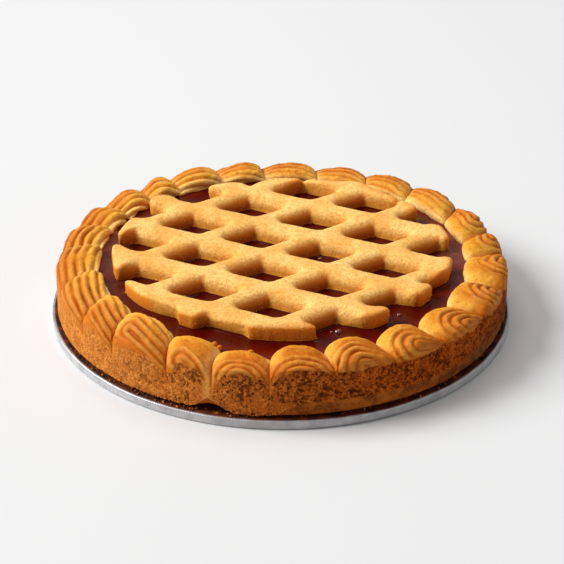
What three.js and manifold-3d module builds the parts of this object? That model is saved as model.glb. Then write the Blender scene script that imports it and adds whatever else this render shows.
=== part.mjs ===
// Apricot jam tart on its own round of foil-faced card.
// Units are millimetres, +Z is up, and the origin is at the middle of the card's underside.
// From the bottom up: foil card, rolled shortcrust base, jam, a cut lattice of shortcrust laid
// on the jam, and a border of 24 piped shortcrust shells standing on the edge of the base.

import * as THREE from 'three';
import { mergeVertices } from 'three/addons/utils/BufferGeometryUtils.js';
import Module from 'manifold-3d';

// ---------------------------------------------------------------- driving dimensions

const GAP = 0.3;                      // clearance between touching pieces

const CARD_RADIUS = 125;
const CARD_THICKNESS = 5.1;
const CARD_EDGE_ROUND = 0.5;

const TART_OFFSET = [0.4, 0];         // the tart sits a little off the middle of its card
const TART_RADIUS = 122.3;            // where the shells were pressed against the ring
const BASE_THICKNESS = 8.2;
const BASE_RADIUS = 121.6;
const BASE_FOOT_ROUND = 3.5;          // the underside of the base is rounded at its edge

const JAM_LEVEL = 29.4;
const JAM_RADIUS = 99.7;

const LATTICE_TOP = 39;
const LATTICE_HALF_WIDTH = 92;        // the cutter left the lattice a little wider than deep
const LATTICE_HALF_DEPTH = 87.4;
const LATTICE_OFFSET = [0.3, -0.6];
const BAR_EDGE_ROUND = 4.4;           // the bars were rolled almost round on top
const BAR_LENGTH = 240;               // longer than the lattice, so the round cutter ends every bar
const BARS_EACH_SIDE = 3;
const BAR_SETS = [                    // two skewed sets of bars: direction, pitch along the other set
  { angle: 35, pitch: 37.6, width: 12.8 },
  { angle: -25.7, pitch: 38.7, width: 14.2 },
];
const WINDOW_CENTRE = [-12.9, 12.7];  // middle of the lattice opening nearest the tart's middle

// Each piped shell, in the order of piping: where its head begins at the inner and at the
// outer side of the border, in degrees, and how far its crest stands above or below the usual
// height. Each shell ends where the next one begins, and the last one at the first.
const SHELLS = [
  [-0.5, 5.3, -0.5], [10.3, 18.5, -0.5], [25.5, 35, 0.2], [45.7, 51.2, -1],
  [61.5, 66.3, -2.4], [78.4, 81.2, -1.6], [95.9, 96.3, -0.5], [110.3, 110.3, 1.2],
  [126.5, 124.5, 0.5], [138, 134, 0.5], [150.3, 150, 0.3], [161, 163.5, 0],
  [173.5, 175, 0], [190, 195, 0], [206, 212, -0.6], [219.5, 225, 1.2],
  [237.7, 242, 0.2], [253.9, 253.6, -1.8], [267.5, 269.5, -0.2], [281.4, 282.7, 1.6],
  [297.4, 298.3, 1.2], [313.5, 313.5, -0.4], [327.5, 330, 0], [345, 345.3, -0.3],
];
const SHELL_INNER_RADIUS = 100;       // inner foot of the border, against the jam
const SHELL_OVERHANG = 1.5;           // how far a full shell bulges in over the jam
const SHELL_PINCH = 1.4;              // how far the border draws back where two shells meet
const SHELL_CREST = 36.7;             // usual height of a shell's highest ridge
const CREST_PLACE = 0.3;              // where that ridge lies, from inner side 0 to outer side 1
const INNER_SHOULDER = 31.5;          // height of a full shell at its inner edge
const OUTER_SHOULDER = 31;            // and at its outer edge
const INNER_FALL = 2;                 // how roundly it falls from the crest to the inner edge
const OUTER_FALL = 2.8;               // and to the outer edge
const VALLEY_INNER = 31;              // height where two shells meet, at the inner side
const VALLEY_OUTER = 26;              // and at the outer side
const RIDGES = 5;                     // ridges left by the star nozzle
const RIDGE_HEIGHT = 1.1;             // ridge crest over groove
const HEAD_SHARE = 0.36;              // share of a shell's width taken by its steep head
const TAIL_FULLNESS = 0.8;            // below 1, the tail stays full for longer
const SHELL_STATIONS = [0, 0.07, 0.18, 0.36, 0.56, 0.76, 0.92, 1];

const ROUND_SEGMENTS = 52;
const FOOT_STEPS = 2;                 // facets in the rounded foot of the base
const EDGE_STEPS = 2;                 // facets in the rounded upper edges of the lattice
const CUTTER_DEPTH = 1;               // how far the round cutter reaches below the lattice

// ---------------------------------------------------------------- materials

const foilCard = new THREE.MeshStandardMaterial({ color: 0xc3c7cc, roughness: 0.3, metalness: 0.8 });
const baseDough = new THREE.MeshStandardMaterial({ color: 0xa9742f, roughness: 0.8, metalness: 0 });
const shellDough = new THREE.MeshStandardMaterial({ color: 0xe09a3c, roughness: 0.75, metalness: 0 });
const latticeDough = new THREE.MeshStandardMaterial({ color: 0xf0c078, roughness: 0.8, metalness: 0 });
const apricotJam = new THREE.MeshStandardMaterial({ color: 0x7a1f08, roughness: 0.08, metalness: 0 });

// ---------------------------------------------------------------- helpers

const wasm = await Module();
wasm.setup();

const radians = THREE.MathUtils.degToRad;

function toSolid(geometry) {
  // Merge a closed geometry's shared vertices and hand it over for cutting and joining.
  const bare = geometry.clone();
  bare.deleteAttribute('normal');
  bare.deleteAttribute('uv');
  const merged = mergeVertices(bare, 1e-4);
  return new wasm.Manifold(new wasm.Mesh({
    numProp: 3,
    vertProperties: new Float32Array(merged.attributes.position.array),
    triVerts: new Uint32Array(merged.index.array),
  }));
}

function fromSolid(solid) {
  const mesh = solid.getMesh();
  const geometry = new THREE.BufferGeometry();
  geometry.setAttribute('position', new THREE.Float32BufferAttribute(mesh.vertProperties, 3));
  geometry.setIndex(Array.from(mesh.triVerts));
  geometry.computeVertexNormals();
  return geometry;
}

function turned(profile) {
  // Revolve [radius, height] pairs, which start and end on the axis, about +Z.
  const points = profile.map(([radius, height]) => new THREE.Vector2(radius, height));
  return new THREE.LatheGeometry(points, ROUND_SEGMENTS).rotateX(Math.PI / 2);
}

function piece(name, geometry, material) {
  const mesh = new THREE.Mesh(geometry, material);
  mesh.name = name;
  return mesh;
}

// ---------------------------------------------------------------- foil card, base and jam

function cardGeometry() {
  const inner = CARD_RADIUS - CARD_EDGE_ROUND;
  return turned([
    [0, 0],
    [inner, 0],
    [CARD_RADIUS, CARD_EDGE_ROUND],
    [CARD_RADIUS, CARD_THICKNESS - CARD_EDGE_ROUND],
    [inner, CARD_THICKNESS],
    [0, CARD_THICKNESS],
  ]);
}

const baseBottom = CARD_THICKNESS + GAP;
const baseTop = baseBottom + BASE_THICKNESS;

function baseGeometry() {
  const foot = [];
  for (let i = 0; i <= FOOT_STEPS; i += 1) {
    const turn = (i / FOOT_STEPS) * (Math.PI / 2);
    foot.push([
      BASE_RADIUS - BASE_FOOT_ROUND * (1 - Math.sin(turn)),
      baseBottom + BASE_FOOT_ROUND * (1 - Math.cos(turn)),
    ]);
  }
  return turned([[0, baseBottom], ...foot, [BASE_RADIUS, baseTop], [0, baseTop]]);
}

function jamGeometry() {
  const bottom = baseTop + GAP;
  return turned([[0, bottom], [JAM_RADIUS, bottom], [JAM_RADIUS, JAM_LEVEL], [0, JAM_LEVEL]]);
}

// ---------------------------------------------------------------- lattice

const latticeBottom = JAM_LEVEL + GAP;
const latticeThickness = LATTICE_TOP - latticeBottom;

function barGeometry(width) {
  // A long bar along +X with a flat underside and rounded upper edges.
  const half = width / 2;
  const round = BAR_EDGE_ROUND;
  const section = new THREE.Shape();
  section.moveTo(-half, 0);
  section.lineTo(half, 0);
  section.lineTo(half, latticeThickness - round);
  section.absarc(half - round, latticeThickness - round, round, 0, Math.PI / 2, false);
  section.lineTo(round - half, latticeThickness);
  section.absarc(round - half, latticeThickness - round, round, Math.PI / 2, Math.PI, false);
  section.closePath();
  const bar = new THREE.ExtrudeGeometry(section, {
    depth: BAR_LENGTH,
    bevelEnabled: false,
    curveSegments: EDGE_STEPS,
  });
  bar.translate(0, 0, -BAR_LENGTH / 2);
  bar.rotateX(Math.PI / 2);
  bar.rotateZ(Math.PI / 2);
  return bar;
}

function cutterGeometry() {
  // The round cutter: an upright disc with a rounded upper edge, drawn in to its oval outline.
  const floor = latticeBottom - CUTTER_DEPTH;
  const edge = [];
  for (let i = 0; i <= EDGE_STEPS; i += 1) {
    const turn = (i / EDGE_STEPS) * (Math.PI / 2);
    edge.push([
      LATTICE_HALF_WIDTH - BAR_EDGE_ROUND * (1 - Math.cos(turn)),
      LATTICE_TOP - BAR_EDGE_ROUND * (1 - Math.sin(turn)),
    ]);
  }
  const cutter = turned([[0, floor], [LATTICE_HALF_WIDTH, floor], ...edge, [0, LATTICE_TOP]]);
  cutter.scale(1, LATTICE_HALF_DEPTH / LATTICE_HALF_WIDTH, 1);
  cutter.translate(LATTICE_OFFSET[0], LATTICE_OFFSET[1], 0);
  return cutter;
}

function latticeGeometry() {
  const steps = BAR_SETS.map(({ angle, pitch }) => [
    pitch * Math.cos(radians(angle)),
    pitch * Math.sin(radians(angle)),
  ]);
  let bars = null;
  for (const [index, { angle, width }] of BAR_SETS.entries()) {
    const [stepX, stepY] = steps[1 - index];
    for (let k = -BARS_EACH_SIDE; k < BARS_EACH_SIDE; k += 1) {
      const bar = barGeometry(width);
      bar.rotateZ(radians(angle));
      bar.translate(
        WINDOW_CENTRE[0] + (k + 0.5) * stepX,
        WINDOW_CENTRE[1] + (k + 0.5) * stepY,
        latticeBottom,
      );
      bars = bars ? bars.add(toSolid(bar)) : toSolid(bar);
    }
  }
  return fromSolid(bars.intersect(toSolid(cutterGeometry())));
}

// ---------------------------------------------------------------- piped shells

function archAt(t) {
  // How full a shell is along its width: a steep round head, then a long falling tail.
  if (t < HEAD_SHARE) {
    return Math.sqrt(1 - (1 - t / HEAD_SHARE) ** 2);
  }
  return Math.cos((Math.PI / 2) * ((t - HEAD_SHARE) / (1 - HEAD_SHARE))) ** TAIL_FULLNESS;
}

function fullHeight(u, crest) {
  // Height of a full shell from its inner side (u = 0) over the crest to its outer side (u = 1).
  if (u < CREST_PLACE) {
    const inward = 1 - u / CREST_PLACE;
    return crest - (crest - INNER_SHOULDER) * inward ** INNER_FALL;
  }
  const outward = (u - CREST_PLACE) / (1 - CREST_PLACE);
  return crest - (crest - OUTER_SHOULDER) * outward ** OUTER_FALL;
}

function shellProfile(arch, crest) {
  // Closed outline in radius and height, counter-clockwise seen with the radius to the right.
  const foot = baseTop + GAP;
  const inner = SHELL_INNER_RADIUS + SHELL_PINCH - (SHELL_PINCH + SHELL_OVERHANG) * arch;
  const outline = [[SHELL_INNER_RADIUS, foot], [TART_RADIUS, foot]];
  const top = [];
  const count = 2 * RIDGES + 1;
  for (let i = 0; i <= count; i += 1) {
    const u = i / count;
    const valley = VALLEY_INNER + (VALLEY_OUTER - VALLEY_INNER) * u;
    const ridge = (i % 2 === 0 ? -0.5 : 0.5) * RIDGE_HEIGHT;
    const height = valley + (fullHeight(u, crest) - valley + ridge) * arch;
    top.push([inner + (TART_RADIUS - inner) * u, height]);
  }
  outline.push(...top.reverse());
  outline.push([SHELL_INNER_RADIUS, JAM_LEVEL + GAP]);
  return outline;
}

function seamGap([inner, outer]) {
  // Half the clearance at a seam between two shells, in degrees. A seam that slants across the
  // border needs a wider angle for the same clearance.
  const slope = TART_RADIUS * radians(outer - inner) / (TART_RADIUS - SHELL_INNER_RADIUS);
  return THREE.MathUtils.radToDeg(GAP / 2 / SHELL_INNER_RADIUS) * Math.hypot(1, slope);
}

function shellGeometry(head, tail, rise) {
  // The angle of a point runs from the head's seam to the tail's, and along each seam from
  // its inner end to its outer end.
  const positions = [];
  const headGap = seamGap(head);
  const tailGap = seamGap(tail);
  let contour = null;
  for (const t of SHELL_STATIONS) {
    const outline = shellProfile(archAt(t), SHELL_CREST + rise);
    for (const [radius, height] of outline) {
      const across = (radius - SHELL_INNER_RADIUS) / (TART_RADIUS - SHELL_INNER_RADIUS);
      const from = head[0] + (head[1] - head[0]) * across + headGap;
      const to = tail[0] + (tail[1] - tail[0]) * across - tailGap;
      const angle = radians(from + (to - from) * t);
      positions.push(radius * Math.cos(angle), radius * Math.sin(angle), height);
    }
    contour = contour ?? outline.map(([radius, height]) => new THREE.Vector2(radius, height));
  }
  const count = contour.length;
  const indices = [];
  for (let s = 0; s < SHELL_STATIONS.length - 1; s += 1) {
    for (let i = 0; i < count; i += 1) {
      const a = s * count + i;
      const b = s * count + ((i + 1) % count);
      indices.push(a, a + count, b, b, a + count, b + count);
    }
  }
  const lastStation = (SHELL_STATIONS.length - 1) * count;
  for (const [a, b, c] of THREE.ShapeUtils.triangulateShape(contour, [])) {
    indices.push(a, b, c);
    indices.push(lastStation + a, lastStation + c, lastStation + b);
  }
  const geometry = new THREE.BufferGeometry();
  geometry.setAttribute('position', new THREE.Float32BufferAttribute(positions, 3));
  geometry.setIndex(indices);
  geometry.computeVertexNormals();
  return geometry;
}

function pipedBorder() {
  const border = new THREE.Group();
  SHELLS.forEach(([inner, outer, rise], index) => {
    const last = index === SHELLS.length - 1;
    const next = SHELLS[last ? 0 : index + 1];
    const turn = last ? 360 : 0;
    const tail = [next[0] + turn, next[1] + turn];
    const name = `shell_${String(index + 1).padStart(2, '0')}`;
    border.add(piece(name, shellGeometry([inner, outer], tail, rise), shellDough));
  });
  return border;
}

// ---------------------------------------------------------------- the whole tart on its card

const pastry = new THREE.Group();
pastry.position.set(TART_OFFSET[0], TART_OFFSET[1], 0);
pastry.add(piece('pastry_base', baseGeometry(), baseDough));
pastry.add(piece('jam', jamGeometry(), apricotJam));
pastry.add(piece('lattice', latticeGeometry(), latticeDough));
pastry.add(pipedBorder());

const tart = new THREE.Group();
tart.add(piece('foil_card', cardGeometry(), foilCard));
tart.add(pastry);

export default tart;
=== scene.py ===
"""Apricot jam tart on its own round of foil-faced card.

The tart is a shortcrust case: a rolled base and a border of piped shells that were pressed
against a tart ring as they baked. It is filled with apricot jam, and a flat lattice, cut from
one sheet of rolled dough with a round cutter, lies on the jam. Sizes in this file are in
millimetres and angles in degrees; meshes are written in metres.
"""

from __future__ import annotations

import itertools
import logging
import math
from dataclasses import dataclass, field
from enum import Enum
from functools import cache, partial
from typing import Any

import bmesh
import bpy
import numpy as np
from mathutils import Matrix, Vector


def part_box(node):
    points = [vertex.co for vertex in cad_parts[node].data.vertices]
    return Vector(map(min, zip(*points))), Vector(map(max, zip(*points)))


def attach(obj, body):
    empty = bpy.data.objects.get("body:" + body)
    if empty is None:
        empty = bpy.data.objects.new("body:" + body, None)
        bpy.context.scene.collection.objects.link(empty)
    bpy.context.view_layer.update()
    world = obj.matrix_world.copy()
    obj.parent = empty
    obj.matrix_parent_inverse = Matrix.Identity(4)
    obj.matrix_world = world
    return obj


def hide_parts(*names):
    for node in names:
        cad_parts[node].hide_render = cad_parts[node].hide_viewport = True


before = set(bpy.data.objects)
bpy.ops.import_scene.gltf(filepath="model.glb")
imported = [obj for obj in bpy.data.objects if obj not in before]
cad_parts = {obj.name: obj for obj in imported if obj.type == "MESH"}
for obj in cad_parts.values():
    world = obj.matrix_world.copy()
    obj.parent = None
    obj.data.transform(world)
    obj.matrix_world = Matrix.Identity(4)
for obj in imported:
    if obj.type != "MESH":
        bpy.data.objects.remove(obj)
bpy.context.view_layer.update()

LOG = logging.getLogger("jam_tart")
Array = np.ndarray
Number = np.ndarray | float
MM = 0.001


# ---------------- small mathematics


def smooth_step(value: Array, low: float, high: float) -> Array:
    """Rise smoothly from 0 at low to 1 at high, or fall if high is below low.

    Args:
        value: numbers to map.
        low: where the result is 0.
        high: where the result is 1.

    Returns:
        3x² - 2x³ of the share x of the way from low to high, held to 0..1.
    """
    share = np.clip((value - low) / (high - low), 0.0, 1.0)
    return share * share * (3.0 - 2.0 * share)


def hump(value: Array, centre: float, width: float) -> Array:
    """Give a bell of height 1 at centre: e to the minus ((value - centre) / width) squared."""
    return np.exp(-(((value - centre) / width) ** 2))


def blend(start: Number, end: Number, share: Array) -> Array:
    """Go evenly from start to end: start, plus the share times the step between them."""
    return start + (end - start) * share


def rounded_least(first: Array, second: Array, radius: float) -> Array:
    """Take the lesser of two distances inside an edge, with the corner between them rounded.

    Args:
        first: distance inside one edge, negative outside it.
        second: distance inside the other edge.
        radius: radius of the rounded corner.

    Returns:
        The lesser one, or the radius if that is more, less the length of the two shortfalls below
        the radius, so that distances outside the corner go round it in arcs.
    """
    shortfall = np.hypot(np.clip(radius - first, 0.0, None), np.clip(radius - second, 0.0, None))
    return np.maximum(radius, np.minimum(first, second)) - shortfall


TABLE_SIZE = 8192  # a power of two, so that its lowest bits pick a place in the table
MIXING_PRIMES = (73856093, 19349663, 83492791)  # large primes, so that near cells fall far apart


@dataclass(frozen=True)
class Noise:
    """Seeded randomness in space, so that it runs on unbroken where two pieces meet."""

    seed: int

    def scattered(self, cells: Array, layer: int = 0) -> Array:
        """Give every whole-numbered cell its own random number in 0..1.

        Args:
            cells: whole numbers, three to a cell, along the last axis.
            layer: picks one of several independent numbers for the same cell.

        Returns:
            One number for each cell.
        """
        table = np.random.default_rng(self.seed + layer).random(TABLE_SIZE)
        x, y, z = (cells[..., k] * prime for k, prime in enumerate(MIXING_PRIMES))
        return table[(x ^ y ^ z) & (TABLE_SIZE - 1)]

    def smooth(self, points: Array, size: float) -> Array:
        """Blend the random numbers of the eight cell corners round each point.

        Args:
            points: places in mm, three numbers along the last axis.
            size: width of a cell in mm.

        Returns:
            Smooth noise in -1..1.
        """
        scaled = points / size
        low = np.floor(scaled).astype(np.int64)
        share = scaled - low
        share = share * share * (3.0 - 2.0 * share)
        total = np.zeros(points.shape[:-1])
        for corner in itertools.product((0, 1), repeat=3):
            weight = np.prod(np.where(np.array(corner) == 1, share, 1.0 - share), axis=-1)
            total += weight * self.scattered(low + np.array(corner))
        return 2.0 * total - 1.0

    def cloud(self, points: Array, size: float, octaves: int = 3) -> Array:
        """Add up ever finer and weaker layers of smooth noise.

        Args:
            points: places in mm.
            size: width of the coarsest layer's cells in mm.
            octaves: number of layers, each half as wide and half as strong as the last.

        Returns:
            Noise in about -1..1.
        """
        step = 31  # between the seeds of two layers
        layers = [Noise(self.seed + step * k).smooth(points, size / 2**k) / 2**k for k in range(octaves)]
        return sum(layers) / sum(1.0 / 2**k for k in range(octaves))

    def nearest(self, points: Array, size: float) -> tuple[Array, Array]:
        """Find the nearest of the seeds scattered one to a cell.

        Args:
            points: places in mm.
            size: width of a cell in mm.

        Returns:
            The distance to the nearest seed as a share of a cell, and that seed's own random number.
        """
        scaled = points / size
        low = np.floor(scaled).astype(np.int64)
        best = np.full(points.shape[:-1], 9.0)
        mark = np.zeros(points.shape[:-1])
        for step in itertools.product((-1, 0, 1), repeat=3):
            cell = low + np.array(step)
            seed = np.stack([cell[..., k] + self.scattered(cell, k + 1) for k in range(3)], axis=-1)
            distance = np.linalg.norm(scaled - seed, axis=-1)
            closer = distance < best
            mark = np.where(closer, self.scattered(cell, 4), mark)
            best = np.where(closer, distance, best)
        return best, mark


# ---------------- meshes


@dataclass
class Sheet:
    """A surface as a grid of points, with named numbers kept at each point for the materials."""

    points: Array
    values: dict[str, Array] = field(default_factory=dict)
    wrap_rows: bool = False
    wrap_columns: bool = False
    keep: Array | None = None

    def normals(self) -> Array:
        """Find each point's outward direction, square to the grid's two directions.

        Returns:
            Unit vectors along the last axis: column direction x row direction.
        """
        pads = ((1, 1) if self.wrap_rows else (0, 0), (1, 1) if self.wrap_columns else (0, 0), (0, 0))
        padded = np.pad(self.points, pads, mode="wrap")
        along_rows, along_columns = np.gradient(padded, axis=0), np.gradient(padded, axis=1)
        rows = slice(1, -1) if self.wrap_rows else slice(None)
        columns = slice(1, -1) if self.wrap_columns else slice(None)
        across = np.cross(along_columns, along_rows)[rows, columns]
        return across / np.maximum(np.linalg.norm(across, axis=-1, keepdims=True), 1e-9)

    def faces(self) -> Array:
        """List the grid's squares as four point numbers each, facing outwards.

        Returns:
            A whole-number array with four columns.
        """
        rows, columns = self.points.shape[:2]
        number = np.arange(rows * columns).reshape(rows, columns)
        if self.wrap_rows:
            number = np.vstack([number, number[:1]])
        if self.wrap_columns:
            number = np.hstack([number, number[:, :1]])
        squares = np.stack([number[:-1, :-1], number[:-1, 1:], number[1:, 1:], number[1:, :-1]], axis=-1)
        return squares.reshape(-1, 4) if self.keep is None else squares[self.keep]

    def build(self, name: str) -> bpy.types.Object:
        """Make the sheet a Blender object at the origin, with points that coincide merged.

        Args:
            name: the object's and the mesh's name.

        Returns:
            The new object, linked to the scene.
        """
        corners = self.faces()
        used, corners = np.unique(corners, return_inverse=True)
        return make_object(
            name,
            self.points.reshape(-1, 3)[used],
            corners.reshape(-1, 4),
            {key: value.reshape(-1)[used] for key, value in self.values.items()},
        )


def make_object(
    name: str, points: Array, faces: Array, values: dict[str, Array] | None = None
) -> bpy.types.Object:
    """Write points and faces into a new smooth-shaded object.

    Args:
        name: the object's and the mesh's name.
        points: places in mm, one to a row.
        faces: point numbers, one face to a row.
        values: numbers for each point, by the name that a material reads them with.

    Returns:
        The new object, linked to the scene.
    """
    mesh = bpy.data.meshes.new(name)
    sides = faces.shape[1]
    mesh.vertices.add(len(points))
    mesh.vertices.foreach_set("co", (points * MM).astype(np.float32).ravel())
    mesh.loops.add(faces.size)
    mesh.loops.foreach_set("vertex_index", faces.astype(np.int32).ravel())
    mesh.polygons.add(len(faces))
    mesh.polygons.foreach_set("loop_start", np.arange(0, faces.size, sides, dtype=np.int32))
    for key, value in (values or {}).items():
        mesh.attributes.new(key, "FLOAT", "POINT").data.foreach_set("value", value.astype(np.float32))
    mesh.update(calc_edges=True)
    merge_doubles(mesh)
    mesh.shade_smooth()
    made = bpy.data.objects.new(name, mesh)
    bpy.context.scene.collection.objects.link(made)
    return made


def merge_doubles(mesh: bpy.types.Mesh) -> None:
    """Join points that lie on each other, which closes seams and poles.

    Args:
        mesh: the mesh to close.
    """
    work = bmesh.new()
    work.from_mesh(mesh)
    bmesh.ops.remove_doubles(work, verts=work.verts, dist=1e-6)
    work.to_mesh(mesh)
    work.free()


def whole_turn(count: int) -> Array:
    """Give count angles evenly round 360 degrees, in a column."""
    return np.linspace(0.0, 360.0, count, endpoint=False)[:, None]


def join_profile(parts: tuple[tuple[Number, Number], ...], like: Array) -> Array:
    """Join stretches of a profile end to end.

    Args:
        parts: each stretch's radius and height, as numbers, rows, columns or grids.
        like: a column with a row for each profile, whose height every stretch is spread over.

    Returns:
        Radius and height: profiles by points by 2.
    """
    spread = [np.broadcast_arrays(*part, like)[:2] for part in parts]
    return np.stack([np.hstack(stretch) for stretch in zip(*spread)], axis=-1)


def tart_axis(node: str) -> tuple[float, float]:
    """Find the upright axis of one of the frame's round nodes, in mm."""
    low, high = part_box(node)
    return 0.5 * (low.x + high.x) / MM, 0.5 * (low.y + high.y) / MM


def polar(radius: Number, degrees: Number, height: Number, centre: tuple[float, float]) -> Array:
    """Turn a radius, an angle and a height round an upright axis into x, y and z.

    Args:
        radius: distance from the axis.
        degrees: angle counter-clockwise from +X, seen from above.
        height: height above the floor.
        centre: where the axis stands.

    Returns:
        Points along a new last axis.
    """
    turn = np.radians(degrees)
    places = centre[0] + radius * np.cos(turn), centre[1] + radius * np.sin(turn), height
    return np.stack(np.broadcast_arrays(*places), axis=-1)


# ---------------- node trees


def linear(code: str) -> tuple[float, float, float, float]:
    """Turn an sRGB hex colour into the linear numbers that shaders use.

    Args:
        code: six hex digits.

    Returns:
        Linear red, green and blue, and an alpha of 1.
    """
    parts = [int(code[k : k + 2], 16) / 255.0 for k in (0, 2, 4)]
    red, green, blue = (p / 12.92 if p <= 0.04045 else ((p + 0.055) / 1.055) ** 2.4 for p in parts)
    return red, green, blue, 1.0


class Tree:
    """A material's node tree, built a node at a time."""

    def __init__(self, name: str) -> None:
        """Start an empty tree in a new material.

        Args:
            name: the material's name.
        """
        self.material = bpy.data.materials.new(name)
        self.material.use_nodes = True
        self.material.node_tree.nodes.clear()

    def add(self, kind: str, inputs: dict[Any, Any] | None = None, output: Any = 0, **settings: Any) -> Any:
        """Add a node with its settings and links.

        Args:
            kind: the node's type, without its ShaderNode start.
            inputs: what each input holds: a number, an sRGB hex colour, or a socket to link from.
            output: name or number of the output wanted back.
            **settings: the node's own properties.

        Returns:
            The chosen output socket.
        """
        made = self.material.node_tree.nodes.new("ShaderNode" + kind)
        for key, value in settings.items():
            setattr(made, key, value)
        for key, value in (inputs or {}).items():
            if isinstance(value, bpy.types.NodeSocket):
                self.material.node_tree.links.new(value, made.inputs[key])
            else:
                made.inputs[key].default_value = linear(value) if isinstance(value, str) else value
        return made.outputs[output] if len(made.outputs) else None

    def grain(self, size: float, detail: float = 3.0, shift: float = 0.0) -> bpy.types.NodeSocket:
        """Give noise whose patches are about size mm across, fixed to the piece.

        Args:
            size: width of a patch in mm.
            detail: how many finer layers the noise has.
            shift: how far the pattern is moved, so that patterns of one size differ.

        Returns:
            The noise, 0..1 and mostly near a half.
        """
        place = self.add("TexCoord", output="Object")
        moved = self.add("Mapping", {"Vector": place, "Location": (shift, shift, shift)})
        inputs = {"Vector": moved, "Scale": 1.0 / (size * MM), "Detail": detail, "Roughness": 0.55}
        return self.add("TexNoise", inputs, "Fac")

    def patches(
        self, size: float, low: float, high: float, detail: float = 3.0, shift: float = 0.0
    ) -> bpy.types.NodeSocket:
        """Give patches about size mm across: 0 where the grain is below low and 1 above high."""
        inputs = {"Value": self.grain(size, detail, shift), "From Min": low, "From Max": high}
        return self.add("MapRange", inputs, "Result", interpolation_type="SMOOTHSTEP")

    def coats(self, colour: Any, *coats: tuple[Any, ...]) -> bpy.types.NodeSocket:
        """Lay coats of colour over each other.

        Args:
            colour: the lowest colour, as a hex code or a socket.
            *coats: from the bottom up, each one's cover (a socket, or the name of one of the
                piece's point values), its colour, and its strength if that isn't 1.

        Returns:
            The colour that shows. Each coat adds the step to its own colour, times its cover held
            to 0..1, times its strength.
        """
        for cover, over, *strength in coats:
            if isinstance(cover, str):
                cover = self.add("Attribute", output="Fac", attribute_name=cover)
            if strength:
                inputs = {0: cover, 1: strength[0]}
                cover = self.add("Math", inputs, operation="MULTIPLY", use_clamp=True)
            colour = self.add("Mix", {"Factor": cover, 6: colour, 7: over}, 2, data_type="RGBA")
        return colour

    def finish(
        self, shader: dict[Any, Any], relief: tuple[Any, float, Any] | None = None, **settings: Any
    ) -> bpy.types.Material:
        """Add the Principled shader and the output.

        Args:
            shader: what each of the shader's inputs holds.
            relief: the fine relief's strength, its height in mm and the socket it follows.
            **settings: the shader's own properties.

        Returns:
            The finished material.
        """
        if relief:
            strength, height, grain = relief
            inputs = {"Strength": strength, "Distance": height * MM, "Height": grain}
            shader = shader | {"Normal": self.add("Bump", inputs, "Normal")}
        surface = self.add("BsdfPrincipled", shader, "BSDF", **settings)
        self.add("OutputMaterial", {"Surface": surface})
        return self.material


# ---------------- finishes


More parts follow.
